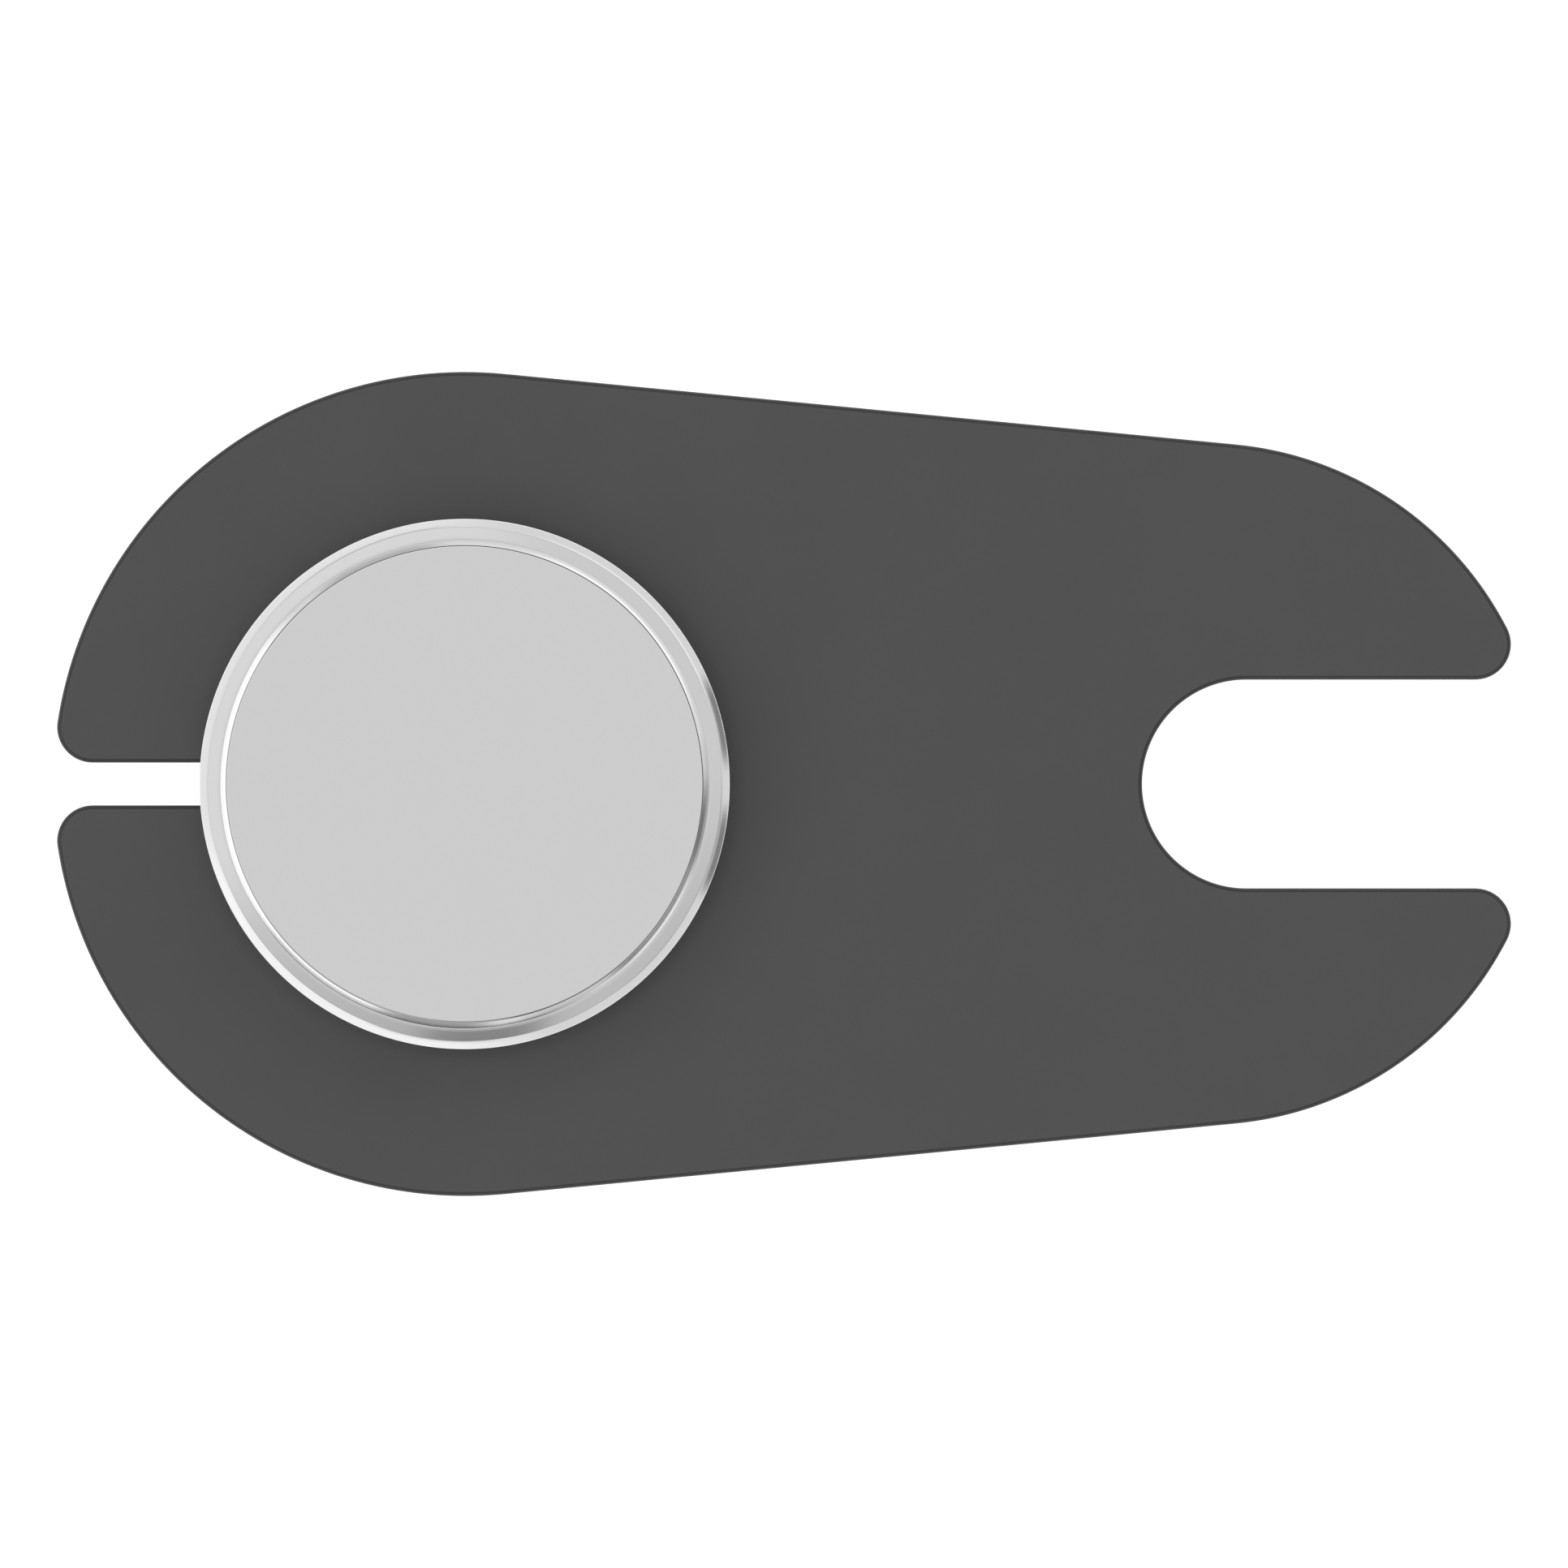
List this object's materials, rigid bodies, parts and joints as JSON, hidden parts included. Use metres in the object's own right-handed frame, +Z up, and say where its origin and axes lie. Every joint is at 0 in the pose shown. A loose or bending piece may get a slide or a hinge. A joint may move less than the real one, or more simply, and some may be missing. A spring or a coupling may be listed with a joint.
{
  "type": "golf ball marker",
  "caption": "Flat golf tool with a turf fork at one end and a pot magnet at the other, which holds a lift-off disc marker for a ball's place.",
  "frame": {"origin": "middle of the plate's underside, on the surface that it lies on", "axes": "+X along the plate towards the fork, +Y across it, +Z up out of the marker's face"},
  "size_m": [0.0696, 0.0394, 0.0046],
  "materials": {
    "anodised_plate": "satin",
    "plated_cup": "satin",
    "plated_magnet": "gloss",
    "potting_resin": "gloss",
    "plated_marker": "gloss",
    "satin_face": "satin",
    "adhesive_film": "matte"
  },
  "bodies": {
    "holder": {"tool_plate": "anodised_plate", "magnet_cup": "plated_cup", "magnet": "plated_magnet", "potting_resin": "potting_resin"},
    "marker": {"marker_disc": "plated_marker", "marker_face": "satin_face", "adhesive_disc": "adhesive_film"}
  },
  "joints": [
    {"name": "marker_lift", "type": "slide", "parent": "holder", "child": "marker", "axis": [0, 0, 1], "range_m": [0, 0.015]}
  ]
}
